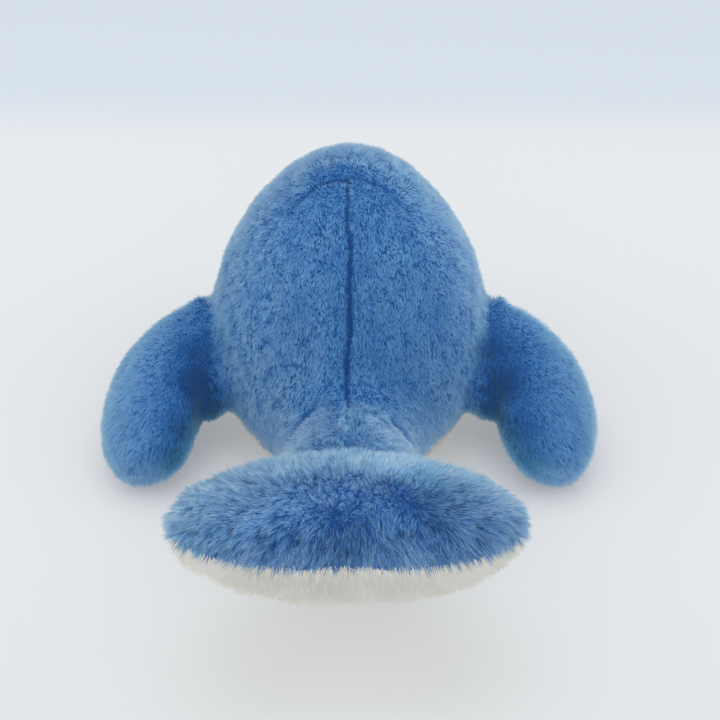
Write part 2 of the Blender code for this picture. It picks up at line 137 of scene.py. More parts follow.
# %% Write node trees as Python expressions
class Value:
    """The output of a node. Sums and products of Values are new Math nodes."""

    def __init__(self, tree, socket):
        self.tree = tree
        self.socket = socket

    def node(self, kind, settings=None, inputs=None, output=0):
        return node(self.tree, kind, settings, inputs, output)

    def math(self, operation, other=0.0):
        return self.node("ShaderNodeMath", {"operation": operation}, {0: self, 1: other})

    def vector(self, operation, other=(0, 0, 0), output=0):
        settings = {"operation": operation}
        return self.node("ShaderNodeVectorMath", settings, {0: self, 1: other}, output)

    def scaled(self, factor):
        settings = {"operation": "SCALE"}
        return self.node("ShaderNodeVectorMath", settings, {0: self, "Scale": factor})

    def out(self, name):
        """Another output of the same node."""
        return Value(self.tree, self.socket.node.outputs[name])

    def __add__(self, other):
        return self.math("ADD", other)

    def __sub__(self, other):
        return self.math("SUBTRACT", other)

    def __rsub__(self, other):
        return self.node("ShaderNodeMath", {"operation": "SUBTRACT"}, {0: other, 1: self})

    def __mul__(self, other):
        return self.math("MULTIPLY", other)

    def __pow__(self, other):
        return self.math("POWER", other)

    def __gt__(self, other):
        return self.math("GREATER_THAN", other)

    __radd__ = __add__
    __rmul__ = __mul__


def node(tree, kind, settings=None, inputs=None, output=0):
    """A new node: its settings first, then its inputs, each a number, a colour or a Value."""
    made = tree.nodes.new(kind)
    for key, value in (settings or {}).items():
        setattr(made, key, value)
    for key, value in (inputs or {}).items():
        if isinstance(value, Value):
            tree.links.new(value.socket, made.inputs[key])
        else:
            made.inputs[key].default_value = value
    return Value(tree, made.outputs[output]) if made.outputs else made


# %% [markdown]
# ## The cloth
# The panels and fillings of the CAD model touch each other with hairline gaps. A voxel remesh
# turns them into one closed skin, as if wet paper were laid over the toy. An egg at each limb's
# root closes the pocket that the limb swings in, because real cloth runs on over the joint. A
# second egg behind each flipper's root is the web that the photograph shows there, low on the
# flank.

# %% Gather the sewn pieces into one skin
SKIN_VOXEL = 0.003
SKIN_SOFTENING = 0.5
SKIN_PASSES = 16
EGG_SUBDIVISIONS = 3
FLIPPER_EGG = (0.015, 0.046, 0.015)
FLUKE_EGG = (0.040, 0.022, 0.020)
FLUKE_EGG_AHEAD = 0.010
WEB_EGG = (0.016, 0.027, 0.021)
WEB_PLACE = (0.107, 0.026, 0.041)

bodies = frame["record"]["behaviour"]["bodies"]
CLOTH_ENDINGS = ("_panel", "_stuffing")
cloth_nodes = [n for nodes in bodies.values() for n in nodes if n.endswith(CLOTH_ENDINGS)]
hinges = {j["child"]: j for j in frame["joints"]}


def add_egg(bm, centre, half_sizes, axis):
    """An egg whose own Y axis lies along the given axis."""
    made = bmesh.ops.create_icosphere(bm, subdivisions=EGG_SUBDIVISIONS, radius=1)["verts"]
    turn = Vector(axis).to_track_quat("Y", "Z").to_matrix()
    bmesh.ops.scale(bm, vec=half_sizes, verts=made)
    bmesh.ops.rotate(bm, cent=(0, 0, 0), matrix=turn, verts=made)
    bmesh.ops.translate(bm, vec=centre, verts=made)


def gathered_skin():
    bm = bmesh.new()
    for name in cloth_nodes:
        bm.from_mesh(frame["nodes"][name].data)
    bmesh.ops.remove_doubles(bm, verts=bm.verts, dist=WELD)
    for limb, side in (("flipper_left", -1), ("flipper_right", 1)):
        add_egg(bm, hinges[limb]["pos_m"], FLIPPER_EGG, hinges[limb]["axis"])
        add_egg(bm, (side * WEB_PLACE[0], *WEB_PLACE[1:]), WEB_EGG, (0, 1, 0))
    tail_end = Vector(hinges["fluke"]["pos_m"])
    add_egg(bm, tail_end + Vector((0, FLUKE_EGG_AHEAD, 0)), FLUKE_EGG, (0, 1, 0))
    whole = add_object("cloth", mesh_of(bm, "cloth"))
    remesh = whole.modifiers.new("one skin", "REMESH")
    remesh.mode = "VOXEL"
    remesh.voxel_size = SKIN_VOXEL
    smooth = whole.modifiers.new("soften", "SMOOTH")
    smooth.factor = SKIN_SOFTENING
    smooth.iterations = SKIN_PASSES
    return finished_mesh(whole, "cloth")


skin = gathered_skin()
print("skin", len(skin.vertices), "points")

# %% [markdown]
# ## Seams
# A seam is where two panels meet, so a point near a seam has two panels nearly as close as each
# other. For each point the distance to every panel is looked up in a search tree. The second
# smallest distance is then about how far the seam is, and the third smallest finds the corner
# where three panels meet. Inside the flippers' cuts only the body's own panels count.


# %% Measure how near each point is to each panel
FLIPPER_SPLIT = 0.108
FAR = 0.1


def panel_trees():
    trees = {}
    for name in cloth_nodes:
        if name.endswith("_panel"):
            data = frame["nodes"][name].data
            faces = [p.vertices[:] for p in data.polygons]
            trees[name] = BVHTree.FromPolygons([v.co for v in data.vertices], faces)
    return trees


panels = panel_trees()
columns = {name: column for column, name in enumerate(panels)}
BACKS = [columns["back_left_panel"], columns["back_right_panel"]]
FACE, BELLY = columns["face_panel"], columns["belly_panel"]
FLUKE_UNDER = columns["fluke_lower_panel"]


def panel_distances(points):
    """A row for each point, with its distance to each panel in the order of the panels."""
    found = np.empty((len(points), len(panels)), np.float32)
    on_flank = np.abs(points[:, 0]) < FLIPPER_SPLIT
    for column, (name, tree) in enumerate(panels.items()):
        found[:, column] = [tree.find_nearest(p)[3] for p in points.tolist()]
        if name.startswith("flipper"):
            found[on_flank, column] += FAR
    return found


distances = panel_distances(points_of(skin))
print("points nearest to each panel", np.bincount(distances.argmin(axis=1)).tolist())

# %% [markdown]
# ## The T on the head
# The photograph shows the head's seam as an arc that meets the seam along the back in a T and
# runs down and back on both sides. The arc is a curve of Y over Z, so it is one formula. The
# seam along the back isn't quite straight on a hand-sewn toy, so two slow waves move it. Blue
# pile laps over the cream below it, most of all beside the tail.

# %% Draw the head seam and the back seam by formula
HEAD_SEAM_TOP = (0.0995, 0.1975)
HEAD_SEAM_LOW = 0.060
HEAD_SEAM_FALL = 0.030
LEAST_CLIMB = 0.3
BACK_SEAM_WAVES = ((0.0013, 48.0, 0.4), (0.0008, 150.0, 1.9))
BELLY_LAP = (0.026, 0.008)
BELLY_LAP_FROM = (-0.090, -0.020)
FLUKE_LAP = 0.004
NEAR_SEAM = 0.004


def ahead_of_head_seam(points, normals):
    """How far each point lies ahead of the head's seam, measured along the skin."""
    rise = (points[:, 2] - HEAD_SEAM_TOP[1]) / HEAD_SEAM_FALL
    drop = (HEAD_SEAM_TOP[0] - HEAD_SEAM_LOW) * np.exp(rise)
    climb = np.stack([np.zeros(len(points)), np.ones(len(points)), -drop / HEAD_SEAM_FALL], axis=1)
    climb -= normals * (climb * normals).sum(1)[:, None]
    steep = np.maximum(np.linalg.norm(climb, axis=1), LEAST_CLIMB)
    return (points[:, 1] - HEAD_SEAM_LOW - drop) / steep


def right_of_back_seam(points):
    wander = sum(size * np.sin(points[:, 1] * rate + start) for size, rate, start in BACK_SEAM_WAVES)
    return points[:, 0] - wander


def draw_upper_seams(table, points, normals):
    """Shares the upper cloth out anew between the face and the two halves of the back."""
    upper = table[:, [*BACKS, FACE]].min(axis=1)
    ahead, aside = ahead_of_head_seam(points, normals), right_of_back_seam(points)
    table[:, FACE] = upper + np.maximum(-ahead, 0)
    for column, side in zip(BACKS, (-1, 1)):
        table[:, column] = upper + np.hypot(np.maximum(ahead, 0), np.maximum(-side * aside, 0))
    table[:, BELLY] += np.interp(points[:, 1], BELLY_LAP_FROM, BELLY_LAP)
    table[:, FLUKE_UNDER] += FLUKE_LAP


draw_upper_seams(distances, points_of(skin), normals_of(skin))
near = np.sort(distances, axis=1)
print("points near a seam", int((near[:, 1] < NEAR_SEAM).sum()))

# %% [markdown]
# ## Pulling the seams in
# Thread pulls the cloth inward along a seam: a wide valley with a narrow crease in it, most of
# all along the back, with a dimple at its front end. The skin also sinks all over, because the
# CAD surface is the middle of the fur and the cloth lies under it. Loose filling leaves soft
# lumps, and where the tail is stuffed tighter than the body the cloth folds at both sides. Each
# point keeps the direction it faced before, its drape, because fur closes over a narrow crease
# and catches the light as if the crease weren't there. Each pull below is a depth and a spread.

# %% Say how hard each seam pulls
SEAM_HOLD = {"back": 1.0, "face": 1.0, "belly": 0.6, "flipper": 0.25, "fluke": 0.2}
HEAD_SEAM_REACH = 0.042
HEAD_SEAM_RIGHT = 0.7
THREAD_SCALE = 70.0
THREAD_PULL = (0.9, 0.4)
BACK_SEAM_END = (-0.095, -0.050)
BACK_SEAM_REST = 0.25


def bump(distance, spread):
    return np.exp(-((distance / spread) ** 2))


def cloud(points, scale):
    """Smooth noise from -1 to 1 at each point."""
    return np.array([noise.noise(Vector(p) * scale) for p in points.tolist()])


def nearest_pair(table):
    """The two nearest panels of each point, and where they are the head seam's."""
    nearest = np.argsort(table, axis=1)[:, :2]
    head = np.isin(nearest, BACKS).any(axis=1) & (nearest == FACE).any(axis=1)
    return nearest, head


def seam_hold(points, table):
    """How hard the thread of the nearest seam pulls at each point, from 0 to 1."""
    kinds = np.array([SEAM_HOLD[name.split("_")[0]] for name in panels])
    nearest, head = nearest_pair(table)
    hold = kinds[nearest].min(axis=1)
    hold[head] *= bump(points[head, 0], HEAD_SEAM_REACH)
    hold[head & (points[:, 0] > 0)] *= HEAD_SEAM_RIGHT
    spine = np.isin(nearest, BACKS).all(axis=1)
    hold[spine] *= np.interp(points[spine, 1], BACK_SEAM_END, (BACK_SEAM_REST, 1.0))
    tightness, unevenness = THREAD_PULL
    return np.minimum(1, hold * (tightness + unevenness * cloud(points, THREAD_SCALE)))


hold = seam_hold(points_of(skin), distances)
print("mean hold near seams", round(float(hold[near[:, 1] < NEAR_SEAM].mean()), 3))

# %% Lay the folds beside the tail
LEFT_FOLD = (
    (-0.0240, -0.0430, 0.0860),
    (-0.0330, -0.0480, 0.0780),
    (-0.0395, -0.0530, 0.0700),
    (-0.0430, -0.0590, 0.0615),
    (-0.0445, -0.0720, 0.0520),
)
RIGHT_FOLD = (
    (0.0340, -0.0540, 0.0800),
    (0.0395, -0.0590, 0.0700),
    (0.0440, -0.0600, 0.0590),
    (0.0465, -0.0640, 0.0480),
)
FOLD_STEPS = 12
FOLD_RISE = 5.0
FOLD_REACH = 0.02
FOLD_BULGE_ASIDE = Vector((0.010, -0.009, 0))


def fold_beads(corners, aside=Vector((0, 0, 0))):
    """Close points along a fold, each with a weight that rises from nothing at its upper end."""
    corners = [Vector(c) + aside for c in corners]
    spans = list(zip(corners, corners[1:]))
    beads = [a.lerp(b, n / FOLD_STEPS) for a, b in spans for n in range(FOLD_STEPS)]
    return [(bead, min(1.0, FOLD_RISE * n / len(beads))) for n, bead in enumerate(beads)]


def bead_bump(points, normals, beads, spread):
    """The greatest bump of any bead, with its distance measured along the skin."""
    found = np.zeros(len(points))
    for bead, weight in beads:
        away = points - np.array(bead)
        height = (away * normals).sum(1)
        flat = np.linalg.norm(away - normals * height[:, None], axis=1)
        found = np.maximum(found, weight * bump(flat, spread) * (np.abs(height) < FOLD_REACH))
    return found


folds, bulges = [], []
for corners in (LEFT_FOLD, RIGHT_FOLD):
    folds += fold_beads(corners)
    aside = FOLD_BULGE_ASIDE.copy()
    aside.x *= -math.copysign(1, corners[0][0])
    bulges += fold_beads(corners, aside)
print("fold beads", len(folds))

# %% Sink the skin under the fur and pull it in
SKIN_DEPTH = 0.0040
SEAM_VALLEY = (0.0018, 0.0090)
SEAM_CREASE = (0.0034, 0.0040)
DIMPLE = (0.0045, 0.0080)
FOLD_CREASE = (0.0066, 0.0042)
FOLD_BULGE = (0.0006, 0.0090)
LUMPS = ((0.0010, 32.0), (0.0004, 95.0))
HEAD_VALLEY_SHARE = 0.10
HEAD_CREASE_SHARE = 0.35
CREASE_SHADE_SPREAD = 0.0048
PUCKER_SCALE = 120.0
PUCKER_SHARE = 0.5


def pull_in(mesh, table, hold):
    points, normals, near = points_of(mesh), normals_of(mesh), np.sort(table, axis=1)
    valley = SEAM_VALLEY[0] * bump(near[:, 1], SEAM_VALLEY[1])
    crease = SEAM_CREASE[0] * bump(near[:, 1], SEAM_CREASE[1])
    pucker = 1 + PUCKER_SHARE * cloud(points, PUCKER_SCALE)
    on_head = nearest_pair(table)[1]
    valley *= np.where(on_head, HEAD_VALLEY_SHARE, 1.0)
    crease *= np.where(on_head, HEAD_CREASE_SHARE, 1.0)
    sunk = SKIN_DEPTH + hold * (valley * pucker + crease)
    sunk += hold * DIMPLE[0] * bump(near[:, 2], DIMPLE[1])
    sunk += FOLD_CREASE[0] * bead_bump(points, normals, folds, FOLD_CREASE[1])
    sunk -= FOLD_BULGE[0] * bead_bump(points, normals, bulges, FOLD_BULGE[1])
    sunk += sum(depth * cloud(points, scale) for depth, scale in LUMPS)
    move_points(mesh, points - normals * sunk[:, None])


def write_attribute(mesh, name, kind, values):
    attribute = mesh.attributes.new(name, kind, "POINT")
    field = "vector" if kind == "FLOAT_VECTOR" else "value"
    attribute.data.foreach_set(field, values.astype(np.float32).ravel())


# The folds' share also darkens the strands there with painted shade.
creases = bead_bump(points_of(skin), normals_of(skin), folds, CREASE_SHADE_SPREAD)
drape = normals_of(skin)
pull_in(skin, distances, hold)
write_attribute(skin, "drape", "FLOAT_VECTOR", drape)
write_attribute(skin, "gap", "FLOAT", near[:, 1])
write_attribute(skin, "hold", "FLOAT", hold)
write_attribute(skin, "crease", "FLOAT", creases)
for name, index in columns.items():
    others = np.delete(distances, index, axis=1).min(axis=1)
    write_attribute(skin, name, "FLOAT", others - distances[:, index])
print("skin box", points_of(skin).min(0), points_of(skin).max(0))

# %% [markdown]
# ## Which way the fur lies
# Plush is brushed from the nose to the tail, and up over the nose. On a limb the fur fans out
# from a point ahead of its root, so no strand points forward. Handling parts long fur here and
# there: the strands lean away from such a place, and painted shade darkens them there for the
# dark roots that show. Behind the flippers and along the flukes' edge the strands are not pushed,
# and these places get only painted shade. Each of these places is given by its middle, its size
# and its strength. The direction is kept on each point as a vector along the surface.

# %% Comb the fur
FLUKE_SPLIT = -0.122
NOSE_TO_TAIL = (0.0, -1.0, -0.1)
FLUKE_FAN_AHEAD = (0, 0.045, 0)
FLUKE_DROOP = (0, 0, -0.080)
FLIPPER_FAN_AHEAD = (0, 0.045, 0)
FLIPPER_DROOP = (0, -0.030, 0)
# Partings push the strands apart, and their painted shade stands for the dark roots between them.
PARTINGS = (
    ((0.0500, -0.2200, 0.1390), 0.0290, 1.0),
    ((-0.0030, -0.2350, 0.1335), 0.0220, 1.0),
    ((-0.0400, -0.2420, 0.1320), 0.0180, 0.7),
    ((0.0236, -0.2470, 0.1250), 0.0120, 0.6),
)
PARTING_PUSH = 1.2
# Places of painted shade only, with no push: in the crooks behind the flippers, where the body shades the pile,
# and along the flukes' edge.
PAINTED_SHADE_PLACES = tuple(
    ((side * x, y, z), size, strength)
    for side in (-1, 1)
    for x, y, z, size, strength in (
        (0.112, 0.040, 0.066, 0.030, 0.60),
        (0.117, 0.012, 0.058, 0.024, 0.90),
        (0.109, -0.002, 0.044, 0.020, 1.00),
        (0.124, -0.024, 0.048, 0.022, 0.60),
        (0.127, -0.044, 0.034, 0.020, 0.50),
        (0.070, -0.166, 0.125, 0.030, 0.40),
        (0.000, -0.164, 0.129, 0.032, 0.40),
        (0.085, -0.238, 0.126, 0.034, 0.45),
    )
)
NOSE_LIFT = 1.2
NOSE_LIFT_FROM = (0.120, 0.235)
NOSE_LIFT_ABOVE = (0.052, 0.090)


def combed(points):
    direction = np.tile(np.array(NOSE_TO_TAIL), (len(points), 1))
    lift = np.interp(points[:, 1], NOSE_LIFT_FROM, (0, 1))
    lift *= np.interp(points[:, 2], NOSE_LIFT_ABOVE, (0, 1))
    direction[:, 2] += NOSE_LIFT * lift
    on_fluke = points[:, 1] < FLUKE_SPLIT
    fan = np.array(hinges["fluke"]["pos_m"]) + FLUKE_FAN_AHEAD
    direction[on_fluke] = points[on_fluke] - fan + FLUKE_DROOP
    for limb in ("flipper_left", "flipper_right"):
        root = np.array(hinges[limb]["pos_m"])
        outward = points[:, 0] * math.copysign(1, root[0])
        on_limb = (outward > FLIPPER_SPLIT) & ~on_fluke
        direction[on_limb] = (points - root - FLIPPER_FAN_AHEAD + FLIPPER_DROOP)[on_limb]
    return direction / np.maximum(np.linalg.norm(direction, axis=1), WELD)[:, None]


def depth_in(points, centre, size, strength):
    return strength * bump(np.linalg.norm(points - centre, axis=1), size)


def painted_shade_at(points):
    """How much painted shade each point gets, from the partings and the places of painted shade only."""
    return np.maximum.reduce([depth_in(points, *place) for place in PARTINGS + PAINTED_SHADE_PLACES])


def pushed(points):
    """The way each of the partings pushes the strands: away from its middle."""
    push = np.zeros((len(points), 3))
    for centre, size, strength in PARTINGS:
        push += (points - centre) / size * depth_in(points, centre, size, strength)[:, None]
    return push


def laid_flat(direction, normals):
    return direction - normals * (direction * normals).sum(1)[:, None]


skin_points, skin_normals = points_of(skin), normals_of(skin)
# The painted shade of the partings and of the places behind the flippers and along the flukes' edge, noted on each
# point for the strands' tone.
parting = painted_shade_at(skin_points)
direction = combed(skin_points) + PARTING_PUSH * pushed(skin_points)
comb = laid_flat(direction, skin_normals)
write_attribute(skin, "comb", "FLOAT_VECTOR", comb)
write_attribute(skin, "parting", "FLOAT", parting)
print("points in partings", int((parting > 0.5).sum()))

# %% [markdown]
# ## One skin, four pieces
# The flippers and flukes swing, so the skin is cut where they leave the body. The cuts are plain
# planes, and both sides keep the same edge, so no gap shows.


# %% Cut the skin where the limbs leave the body
def skin_part(name, cuts):
    """What is left of the skin behind each cut, given as a point and the side to throw away."""
    bm = bmesh.new()
    bm.from_mesh(skin)
    for point, outward in cuts:
        geometry = bm.verts[:] + bm.edges[:] + bm.faces[:]
        bmesh.ops.bisect_plane(bm, geom=geometry, plane_co=point, plane_no=outward, clear_outer=True)
    return add_object(name, mesh_of(bm, name))


behind = ((0, FLUKE_SPLIT, 0), (0, -1, 0))
ahead = ((0, FLUKE_SPLIT, 0), (0, 1, 0))
left, right = (-FLIPPER_SPLIT, 0, 0), (FLIPPER_SPLIT, 0, 0)
skins = {
    "body": skin_part("body_skin", [behind, (left, (-1, 0, 0)), (right, (1, 0, 0))]),
    "flipper_left": skin_part("flipper_left_skin", [behind, (left, (1, 0, 0))]),
    "flipper_right": skin_part("flipper_right_skin", [behind, (right, (-1, 0, 0))]),
    "fluke": skin_part("fluke_skin", [ahead]),
}
print({name: len(obj.data.vertices) for name, obj in skins.items()})

# %% [markdown]
# ## Finishes
# A strand of plush is dark at its root, where its neighbours shade it, and pale at its tip: this
# shade is painted along the strand. Each strand carries its own place on a small map: across the
# map it says how pale the whole strand is, and up the map it runs from root to tip. A material
# that reads only this map can paint every strand, and it can be baked into one small picture. The
# flukes' longer pile has a darker copy of the blue with less sheen, which paints shade onto the
# flukes.

# %% Mix the plush colours
# The darkest stop of each ramp is painted shade, which the seams, folds, pits and partings reach.
BLUE = (
    (0.006, 0.026, 0.090, 1),
    (0.013, 0.080, 0.320, 1),
    (0.046, 0.242, 0.740, 1),
    (0.170, 0.520, 1.000, 1),
)
# A darker copy of the blue for the flukes: painted shade.
SHADED_LONG_BLUE = (
    (0.006, 0.022, 0.095, 1),
    (0.014, 0.066, 0.300, 1),
    (0.050, 0.215, 0.700, 1),
    (0.120, 0.370, 0.960, 1),
)
CREAM = (
    (0.560, 0.490, 0.350, 1),
    (0.860, 0.800, 0.610, 1),
    (0.970, 0.935, 0.740, 1),
    (1.000, 0.970, 0.820, 1),
)
TONE_STOPS = (0.0, 0.16, 0.55, 1.0)
BLUE_SHEEN = (0.540, 0.800, 1.000, 1)
LONG_BLUE_SHEEN = (0.350, 0.620, 1.000, 1)
CREAM_SHEEN = (1.000, 0.940, 0.780, 1)
LIGHT_THROUGH = 0.001
FUR_MAP = "OFBake"
ROOT_SHADE = 0.35
ROOT_FADE = 0.7
PLUSH_ROUGHNESS = 0.85
PLUSH_SPECULAR = 0.2
SHEEN = 1.0
LONG_SHEEN = 0.45
SHEEN_ROUGHNESS = 0.45


def new_material(name):
    made = bpy.data.materials.new(name)
    made.use_nodes = True
    return made, made.node_tree, made.node_tree.nodes["Principled BSDF"]


def set_sockets(shader, **values):
    """Sets a shader's own sockets, named in Python's way, such as coat_weight."""
    for key, value in values.items():
        shader.inputs[key.replace("_", " ").title().replace("Ior", "IOR")].default_value = value


def colour_ramp(tree, factor, stops):
    ramp = node(tree, "ShaderNodeValToRGB", None, {"Fac": factor})
    elements = ramp.socket.node.color_ramp.elements
    for position, colour in stops[2:]:
        elements.new(position)
    for element, (position, colour) in zip(elements, sorted(stops)):
        element.position = position
        element.color = colour
    return ramp


def mixed(tree, factor, first, second, blend="MIX"):
    settings = {"data_type": "RGBA", "blend_type": blend}
    return node(tree, "ShaderNodeMix", settings, {0: factor, 6: first, 7: second}, 2)


def fur_material(name, colours, sheen, weight=SHEEN):
    """Strands let light through, so their shader is all subsurface, and sheen is their nap."""
    made, tree, shader = new_material(name)
    place = node(tree, "ShaderNodeUVMap", {"uv_map": FUR_MAP})
    split = node(tree, "ShaderNodeSeparateXYZ", None, {0: place})
    tone = colour_ramp(tree, split, list(zip(TONE_STOPS, colours)))
    shade = split.out("Y") ** ROOT_FADE * (1 - ROOT_SHADE) + ROOT_SHADE
    grey = node(tree, "ShaderNodeCombineColor", None, {0: shade, 1: shade, 2: shade})
    colour = mixed(tree, 1.0, tone, grey, "MULTIPLY")
    tree.links.new(colour.socket, shader.inputs["Base Color"])
    set_sockets(shader, roughness=PLUSH_ROUGHNESS, specular_ior_level=PLUSH_SPECULAR)
    set_sockets(shader, subsurface_weight=1.0, subsurface_scale=LIGHT_THROUGH)
    set_sockets(shader, subsurface_radius=(1, 1, 1))
    set_sockets(shader, sheen_weight=weight, sheen_roughness=SHEEN_ROUGHNESS, sheen_tint=sheen)
    return made


fur_materials = {
    "blue": fur_material("blue plush pile", BLUE, BLUE_SHEEN),
    "long blue": fur_material("shaded long blue plush pile", SHADED_LONG_BLUE, LONG_BLUE_SHEEN, LONG_SHEEN),
    "cream": fur_material("cream plush pile", CREAM, CREAM_SHEEN),
}
print("piles", [made.name for made in fur_materials.values()])

# %% Mix the backing cloth
BACKING_SCALE = 180.0
BACKING_DETAIL = 3.0
BLUE_SHADOW = 0.5
CREAM_SHADOW = 0.9


def backing_material(name, colour, shadow):
    """Knitted backing, darker in small patches by the share that the fur shadows it."""
    made, tree, shader = new_material(name)
    place = node(tree, "ShaderNodeTexCoord", output="Object")
    inputs = {"Vector": place, "Scale": BACKING_SCALE, "Detail": BACKING_DETAIL}
    patches = node(tree, "ShaderNodeTexNoise", None, inputs)
    darker = tuple(c * shadow for c in colour[:3]) + (1,)
    shown = mixed(tree, patches, darker, colour)
    tree.links.new(shown.socket, shader.inputs["Base Color"])
    set_sockets(shader, roughness=1.0, specular_ior_level=0.0)
    return made


skin_materials = [
    backing_material("blue plush backing", BLUE[1], BLUE_SHADOW),
    backing_material("cream plush backing", CREAM[1], CREAM_SHADOW),
]
print("backings", [made.name for made in skin_materials])

# %% [markdown]
# ## One strand
# A strand is a thin spike of three faces: a cone with three sides and no base, because its base
# is inside the cloth. One spike is made, and the next step plants it many thousand times.

# %% Make one strand
STRAND_SIDES = 3
TONE_SPREAD = 0.03


def strand_object(name, material):
    bm = bmesh.new()
    bmesh.ops.create_cone(bm, segments=STRAND_SIDES, radius1=0.5, radius2=0, depth=1, cap_ends=False)
    bmesh.ops.translate(bm, vec=(0, 0, 0.5), verts=bm.verts)
    bmesh.ops.remove_doubles(bm, verts=bm.verts, dist=WELD)
    bmesh.ops.recalc_face_normals(bm, faces=bm.faces)
    fur_map = bm.loops.layers.uv.new(FUR_MAP)
    for face in bm.faces:
        for corner in face.loops:
            corner[fur_map].uv = (corner.vert.co.x + corner.vert.co.y, corner.vert.co.z)
    obj = add_object(name, mesh_of(bm, name))
    obj.data.materials.append(material)
    return obj


strands = {}
for colour, made in fur_materials.items():
    strands[colour] = strand_object(f"{colour} strand", made)
print("faces of a strand", len(strands["blue"].data.polygons))

# %% [markdown]
# ## Planting the fur
# Geometry Nodes scatters points over the skin and puts a strand on each. The tree is written in
# steps, one for each question: where do strands stand, which way do they lean, how long are they
# and how pale. The steps share one planter, which holds the tree, the look of the pile and the
# seed of its random draws.


# %% Set up the planter
class Planter:
    """A node tree that plants one fur, with the fields that its steps share."""

    def __init__(self, name, look, seed):
        self.tree = bpy.data.node_groups.new(name, "GeometryNodeTree")
        for way in ("INPUT", "OUTPUT"):
            self.tree.interface.new_socket("Geometry", in_out=way, socket_type="NodeSocketGeometry")
        self.look = look
        self.seed = seed
        self.cloth = self.node("NodeGroupInput")
        self.place = self.node("GeometryNodeInputPosition")

    def node(self, kind, settings=None, inputs=None, output=0):
        return node(self.tree, kind, settings, inputs, output)

    def named(self, attribute, kind="FLOAT"):
        settings = {"data_type": kind}
        return self.node("GeometryNodeInputNamedAttribute", settings, {"Name": attribute})

    def clouds(self, scale, detail=2.0, output="Fac"):
        inputs = {"Vector": self.place, "Scale": scale, "Detail": detail}
        return self.node("ShaderNodeTexNoise", None, inputs, output)

    def chance(self, low, high, number):
        inputs = {2: low, 3: high, "Seed": self.seed + number}
        return self.node("FunctionNodeRandomValue", {"data_type": "FLOAT"}, inputs, 1)

    def any_way(self, number):
        inputs = {0: (-1, -1, -1), 1: (1, 1, 1), "Seed": self.seed + number}
        return self.node("FunctionNodeRandomValue", {"data_type": "FLOAT_VECTOR"}, inputs)

    def stored(self, geometry, label, value, kind, domain):
        settings = {"data_type": kind, "domain": domain}
        inputs = {"Geometry": geometry, "Name": label, "Value": value}
        return self.node("GeometryNodeStoreNamedAttribute", settings, inputs)


print("planter ready")


# %% Say where strands stand, and what marks them there
FLECK_RISE = 8.0
PATCH_IN_FLECK = 0.5


def scattered(fur):
    """Points all over the cloth, or only on the pile's own panels."""
    look = fur.look
    density = look["density"]
    if look["panels"]:
        own = fur.named(look["panels"][0])
        for panel in look["panels"][1:]:
            own = own.math("MAXIMUM", fur.named(panel))
        density = (own > look["inset"]) * look["density"]
    inputs = {"Mesh": fur.cloth, "Density": density, "Seed": fur.seed}
    return fur.node("GeometryNodeDistributePointsOnFaces", None, inputs)


def seam_share(fur):
    """1 on a seam's thread or in a fold, and 0 a few millimetres off."""
    steps = fur.named("gap") * (1 / fur.look["seam_spread"])
    thread = (steps * steps * -1.0).math("EXPONENT") * fur.named("hold")
    return thread.math("MAXIMUM", fur.named("crease"))


def fleck_share(fur):
    """1 in the small pits of the pile, which painted shade darkens, and 0 between them."""
    look = fur.look
    pits = fur.clouds(look["fleck_scale"], 1.0)
    pits = pits + fur.clouds(look["patch_scale"], 1.0) * PATCH_IN_FLECK
    fleck = (pits - look["fleck_level"]).math("MAXIMUM", 0.0) * FLECK_RISE
    return fleck.math("MINIMUM", 1.0)


# %% [markdown]
# A strand stands between the surface's normal and the way it is combed, and upright at a seam.
# Noise turns the combing here and there, as a hand does that strokes a toy. A Voronoi texture
# splits the surface into small cells, and each strand leans a little towards its cell's middle,
# which draws the fur into tufts. Fur is short at a seam and in the pits, and painted shade
# darkens it there.

# %% Say how a strand leans, how long it is and how pale
LENGTHS = (0.75, 1.15)
TONES = (0.02, 0.97)
TONE_DETAIL = 3.0
LEAN_SCALE_SHARE = 0.6
UPRIGHT_AT_SEAM = 0.7
MIDDLE_GREY = (0.5, 0.5, 0.5)


def stroked_comb(fur, normal):
    look = fur.look
    stroke = fur.clouds(look["stroke_scale"], output="Color").vector("SUBTRACT", MIDDLE_GREY)
    comb = fur.named("comb", "FLOAT_VECTOR").vector("ADD", stroke.scaled(look["stroke"]))
    return comb.vector("SUBTRACT", normal.scaled(comb.vector("DOT_PRODUCT", normal, 1)))


def strand_way(fur, normal, comb, seam):
    look = fur.look
    change = fur.clouds(look["stroke_scale"] * LEAN_SCALE_SHARE) - 0.5
    lean = change * look["lean_change"] + look["lean"]
    lean = lean * (1 - seam * UPRIGHT_AT_SEAM)
    way = normal.vector("ADD", comb.scaled(lean))
    return way.vector("ADD", fur.any_way(1).scaled(look["wild"])).vector("NORMALIZE")


def strand_length(fur, seam, fleck):
    look = fur.look
    kept = (1 - seam * look["seam_trim"]) * (1 - fleck * look["fleck_trim"])
    return kept * look["pile"] * fur.chance(*LENGTHS, 2)


def pull_to_tuft(fur):
    inputs = {"Vector": fur.place, "Scale": 1 / fur.look["tuft"]}
    cells = fur.node("ShaderNodeTexVoronoi", None, inputs, "Position")
    return cells.vector("SUBTRACT", fur.place).scaled(fur.look["tuft_pull"])


def strand_tone(fur, seam, fleck):
    look = fur.look
    patches = fur.clouds(look["patch_scale"], TONE_DETAIL) - 0.5
    tone = patches * look["patch_depth"] + look["tone"]
    # Painted shade darkens the tone in the pits, at seams and folds, in the partings and behind the flippers.
    tone = tone - fleck * look["fleck_shade"]
    tone = tone + fur.chance(-look["tone_spread"], look["tone_spread"], 3)
    tone = tone - seam * look["seam_shade"] - fur.named("parting") * look["parting_shade"]
    return fur.node("ShaderNodeClamp", None, {0: tone, 1: TONES[0], 2: TONES[1]})


# %% Put the steps together
DRAPE_SHARE = 0.65


